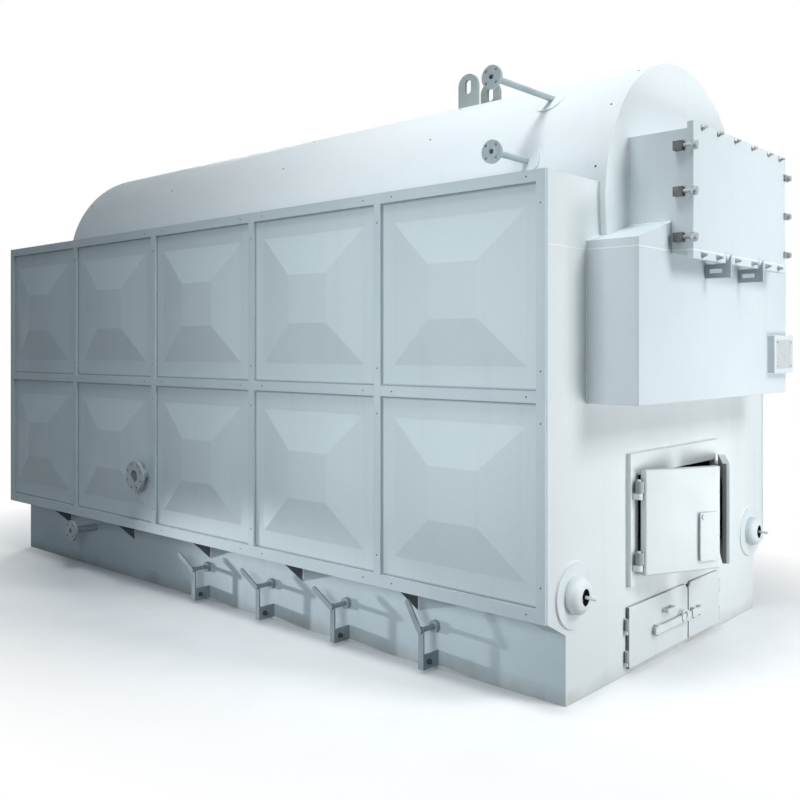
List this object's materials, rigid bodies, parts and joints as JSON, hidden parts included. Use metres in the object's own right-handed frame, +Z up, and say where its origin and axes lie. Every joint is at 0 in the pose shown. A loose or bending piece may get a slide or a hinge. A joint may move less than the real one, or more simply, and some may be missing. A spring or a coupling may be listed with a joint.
{
  "type": "industrial boiler",
  "caption": "Package boiler: lagged steam drum lying on a panelled furnace casing, with firing and ash doors, front smoke box and hood, flanged pipes and damper handles.",
  "frame": {"origin": "on the floor, under the middle of the boiler's bounding box", "axes": "+Z up, the firing front faces -Y, +Y runs along the drum towards the rear"},
  "size_m": [2.634, 5.478, 3.312],
  "materials": {
    "casing_paint": "satin pale grey paint",
    "base_paint": "dusty grey paint",
    "pipe_paint": "grey paint",
    "door_paint": "pale grey paint",
    "dark_steel": "blackened steel",
    "grate_iron": "scaled iron",
    "handle_paint": "grey paint"
  },
  "bodies": {
    "boiler": {"front_left_pier": "casing_paint", "front_right_pier": "casing_paint", "front_lintel": "casing_paint", "front_middle_band": "casing_paint", "ash_door_sill": "casing_paint", "rear_wall": "casing_paint", "left_casing_wall": "casing_paint", "right_casing_wall": "casing_paint", "top_decks": "casing_paint", "left_panels": "casing_paint", "right_panels": "casing_paint", "rear_panels": "casing_paint", "casing_stiles": "casing_paint", "casing_mid_rails": "casing_paint", "casing_top_rails": "casing_paint", "casing_bottom_rails": "casing_paint", "drum_shell": "casing_paint", "drum_front_plate": "casing_paint", "drum_rear_plate": "casing_paint", "smoke_box": "casing_paint", "smoke_box_cover": "casing_paint", "flue_hood": "casing_paint", "plate_box": "casing_paint", "lifting_lugs": "casing_paint", "header_rings": "casing_paint", "header_ends": "casing_paint", "firing_door_frame": "casing_paint", "base_left_beam": "base_paint", "base_right_beam": "base_paint", "base_rear_plate": "base_paint", "ash_pit_floor": "base_paint", "casing_gussets": "base_paint", "damper_posts": "base_paint", "damper_collars": "base_paint", "gauge_pipes": "pipe_paint", "gauge_pads": "pipe_paint", "side_nozzles": "pipe_paint", "drain_pipes": "pipe_paint", "cover_rests": "pipe_paint", "cover_clamps": "dark_steel", "firing_door_pintles": "dark_steel", "ash_door_pintles": "dark_steel", "grate_bed": "grate_iron"},
    "firing_leaf_left": {"firing_door_left": "door_paint"},
    "firing_leaf_right": {"firing_door_right": "door_paint"},
    "peephole_flap": {"peephole_cover": "door_paint"},
    "ash_leaf_left": {"ash_door_left": "door_paint"},
    "ash_leaf_right": {"ash_door_right": "door_paint"},
    "damper_1": {"damper_handle_1": "handle_paint"},
    "damper_2": {"damper_handle_2": "handle_paint"},
    "damper_3": {"damper_handle_3": "handle_paint"},
    "damper_4": {"damper_handle_4": "handle_paint"}
  },
  "joints": [
    {"name": "firing_leaf_left_swing", "type": "hinge", "parent": "boiler", "child": "firing_leaf_left", "pos_m": [-0.49, -2.39, 0.75], "axis": [0, 0, -1], "range_deg": [-26, 84]},
    {"name": "firing_leaf_right_swing", "type": "hinge", "parent": "boiler", "child": "firing_leaf_right", "pos_m": [0.49, -2.39, 0.75], "axis": [0, 0, 1], "range_deg": [-26, 84]},
    {"name": "peephole_flap_turn", "type": "hinge", "parent": "firing_leaf_left", "child": "peephole_flap", "pos_m": [-0.1706, -2.57916, 0.761], "axis": [0.4384, 0.8988, 0], "range_deg": [0, 95]},
    {"name": "ash_leaf_left_swing", "type": "hinge", "parent": "boiler", "child": "ash_leaf_left", "pos_m": [-0.545, -2.351, 0.18], "axis": [0, 0, -1], "range_deg": [0, 110]},
    {"name": "ash_leaf_right_swing", "type": "hinge", "parent": "boiler", "child": "ash_leaf_right", "pos_m": [0.545, -2.351, 0.18], "axis": [0, 0, 1], "range_deg": [0, 110]},
    {"name": "damper_1_turn", "type": "hinge", "parent": "boiler", "child": "damper_1", "pos_m": [-1.14, -1.579, 0.215], "axis": [-1, 0, 0], "range_deg": [-31, 59]},
    {"name": "damper_2_turn", "type": "hinge", "parent": "boiler", "child": "damper_2", "pos_m": [-1.14, -0.946, 0.215], "axis": [-1, 0, 0], "range_deg": [-60, 30]},
    {"name": "damper_3_turn", "type": "hinge", "parent": "boiler", "child": "damper_3", "pos_m": [-1.14, -0.313, 0.215], "axis": [-1, 0, 0], "range_deg": [-60, 30]},
    {"name": "damper_4_turn", "type": "hinge", "parent": "boiler", "child": "damper_4", "pos_m": [-1.14, 0.32, 0.215], "axis": [-1, 0, 0], "range_deg": [-60, 30]}
  ]
}
